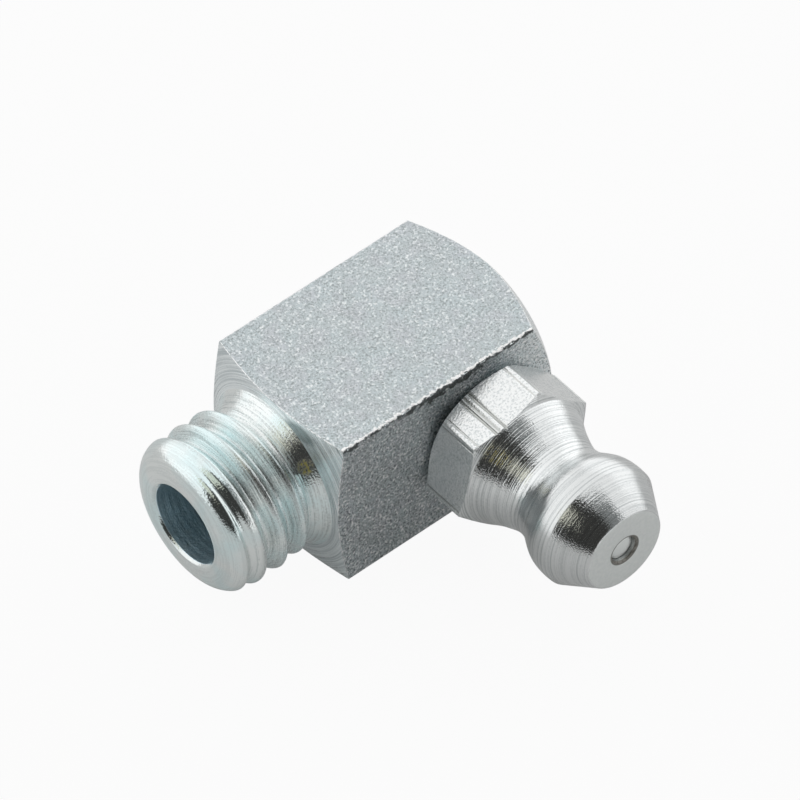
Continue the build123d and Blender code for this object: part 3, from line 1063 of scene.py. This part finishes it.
# %% Give each face its finish


def finish_faces(piece, materials, choose):
    """Ask a question of every face, and give it the finish that is the answer."""
    piece.data.materials.clear()
    for material in materials:
        piece.data.materials.append(material)
    tally = {material: 0 for material in materials}
    for face in piece.data.polygons:
        chosen = choose(face, (face.center - CENTRE) / MM)
        face.material_index = materials.index(chosen)
        tally[chosen] += 1
    print(piece.name, {material.name: faces for material, faces in tally.items()})


def in_a_bore(spot):
    """The bore from the nose, or the hole for the nipple."""
    radius = hypot(spot.y, spot.z)
    if radius < BORE + 0.02 and -2.5 < -spot.x < NOSE - 0.05:
        return True
    return (-4.4 < spot.y < -0.5 and abs(spot.x) < SOCKET + 0.01 and hypot(spot.x, spot.z) < SOCKET + 0.01
            and radius < 4.4)


def elbow_finish(face, spot):
    out = max(abs(spot.y), abs(spot.z))
    if in_a_bore(spot):
        return bore_zinc
    if -spot.x > relief_foot or -spot.x > face_at(RELIEF_CORNER) - 0.02 and face.normal.x < -0.2:
        return thread_zinc
    if (out > HALF - 0.1 and max(abs(face.normal.y), abs(face.normal.z)) < 0.985
            and hypot(spot.y, spot.z) > HALF and (spot.y > -4.2 or spot.z < 4.2)):
        return edge_zinc
    if out > HALF - 0.07 and CORNER_BACK - 1.2 < -spot.x < relief_foot:
        return flats_zinc
    return turned_zinc


def nipple_finish(face, spot):
    radius = hypot(spot.x, spot.z)
    if -spot.y > TIP - 0.25 and radius < OPENING:
        return gap_zinc if -0.105 < -spot.y - TIP < -0.005 else tip_zinc
    if -spot.y > TIP - 0.01:
        return tip_zinc
    if radius < CHAMBER + 0.025 or -spot.y < HEX_BACK - 0.01:
        return bore_zinc
    out = max(Vector((spot.x, 0, spot.z)).dot(normal) for normal in hex_normals)
    return hex_zinc if out > HEX - 0.11 and abs(face.normal.y) < 0.2 and -spot.y < 7.6 else nipple_zinc


finish_faces(elbow, (flats_zinc, turned_zinc, thread_zinc, bore_zinc, edge_zinc), elbow_finish)
finish_faces(nipple, (nipple_zinc, hex_zinc, tip_zinc, bore_zinc, gap_zinc), nipple_finish)
finish_faces(ball, (ball_metal,), lambda face, spot: ball_metal)
finish_faces(coil, (spring_metal,), lambda face, spot: spring_metal)

# %% [markdown]
# Bright metal has no look of its own, so the room is the picture.  Strong lamps would only burn small white
# dots into it.  A pale world lights everything evenly instead.  The camera, mirror and glass rays are told
# apart with a Light Path node, so that they meet plain white, while the floor still takes the fitting's
# shadow.

# %% Floor
FLOOR_COLOUR = (0.8, 0.8, 0.8, 1)
WHITENED = 0.94                         # how much of the floor's own shade the camera loses
MIRRORED_WHITE = 0.15                   # and how much of it the metal's reflections lose


def mirror_rays(tree):
    """A Light Path node, and the mask of the rays that metal and glass send on."""
    rays = node(tree, "ShaderNodeLightPath")
    return rays, math(tree, "MAXIMUM", rays.outputs["Is Glossy Ray"], rays.outputs["Is Transmission Ray"])


bpy.ops.mesh.primitive_plane_add(size=2.0, location=(0, 0, 0))
floor = bpy.context.object
floor.name = "floor"
paper, tree = new_material("paper")
rays, mirrored = mirror_rays(tree)
in_mirrors = math(tree, "MULTIPLY", mirrored, MIRRORED_WHITE)
seen = math(tree, "MAXIMUM", rays.outputs["Is Camera Ray"], in_mirrors)
lit = node(tree, "ShaderNodeBsdfDiffuse")
lit.inputs[0].default_value = FLOOR_COLOUR
glow = node(tree, "ShaderNodeEmission")
blend = node(tree, "ShaderNodeMixShader")
feed(tree, blend.inputs[0], math(tree, "MULTIPLY", seen, WHITENED))
tree.links.new(lit.outputs[0], blend.inputs[1])
tree.links.new(glow.outputs[0], blend.inputs[2])
output = node(tree, "ShaderNodeOutputMaterial")
tree.links.new(blend.outputs[0], output.inputs[0])
floor.data.materials.append(paper)
print("the floor keeps", round(1 - WHITENED, 2), "of its shade in view")

# %% [markdown]
# The world does for the background what the floor does below it.  It lights the fitting at a plain level,
# so that colours come out about as they are written, and only what the camera and the metal see is full
# white.

# %% Room
ROOM_LIGHT = 0.7                        # as light; the room is seen and mirrored as plain white
room = bpy.data.worlds.new("room")
room.use_nodes = True
bpy.context.scene.world = room
tree = room.node_tree
tree.nodes.clear()
rays, mirrored = mirror_rays(tree)
seen = math(tree, "MAXIMUM", rays.outputs["Is Camera Ray"], mirrored)
sky = node(tree, "ShaderNodeBackground")
feed(tree, sky.inputs[0], (1, 1, 1, 1))
feed(tree, sky.inputs[1], ramp(tree, seen, 0, 1, ROOM_LIGHT, 1.0))
output = node(tree, "ShaderNodeOutputWorld")
tree.links.new(sky.outputs[0], output.inputs[0])
bpy.context.scene.view_settings.view_transform = "Standard"
print("world:", room.name)

# %% [markdown]
# In an even white room polished metal turns as flat as chalk.  Dark cards beside the camera give the sharp
# dark shapes that make plated metal read as metal, and bright ones behind lift the edges that face away.
# Lamps can't darken anything, so the cards are plain planes.  The camera doesn't see them, and each is
# placed by the direction in which the metal mirrors it.

# %% Cards


def toward(azimuth, elevation):
    """Direction by azimuth (0 is where the nipple points, 90 is away from the shank) and elevation."""
    a, e = radians(azimuth), radians(elevation)
    return Vector((sin(a) * cos(e), -cos(a) * cos(e), sin(e)))


def card(name, azimuth, elevation, wide, high, colour, strength=1.0, distance=0.3, roll=0):
    """A card that faces the fitting and spans the given half angles as seen from it."""
    direction = toward(azimuth, elevation)
    bpy.ops.mesh.primitive_plane_add(size=2.0, location=CENTRE + direction * distance)
    made = bpy.context.object
    made.name = name
    made.scale = (distance * tan(radians(wide)), distance * tan(radians(high)), 1)
    facing = direction.to_track_quat("Z", "Y") @ Quaternion((0, 0, 1), radians(roll))
    made.rotation_euler = facing.to_euler()
    material, tree = new_material(name)
    shader = node(tree, "ShaderNodeEmission")
    shader.inputs[0].default_value = (*colour, 1)
    shader.inputs[1].default_value = strength
    output = node(tree, "ShaderNodeOutputMaterial")
    tree.links.new(shader.outputs[0], output.inputs[0])
    made.data.materials.append(material)
    made.visible_camera = False
    print(name, "stands at", azimuth, "degrees,", elevation, "up")


WHITE = (1, 1, 1)
card("dark_card", -53, 34, wide=33, high=38, colour=(0.045, 0.045, 0.043), roll=-18)
card("grey_card_right", 1, 42, wide=22, high=34, colour=(0.23, 0.24, 0.24), distance=0.36)
card("pale_card", -90, 42, wide=12, high=12, colour=(0.74, 0.73, 0.63), distance=0.29)
card("bright_card", 112, 12, wide=35, high=30, colour=WHITE, strength=1.22, distance=0.34)
card("bright_card_left", -150, 25, wide=35, high=28, colour=WHITE, strength=1.1, distance=0.34)
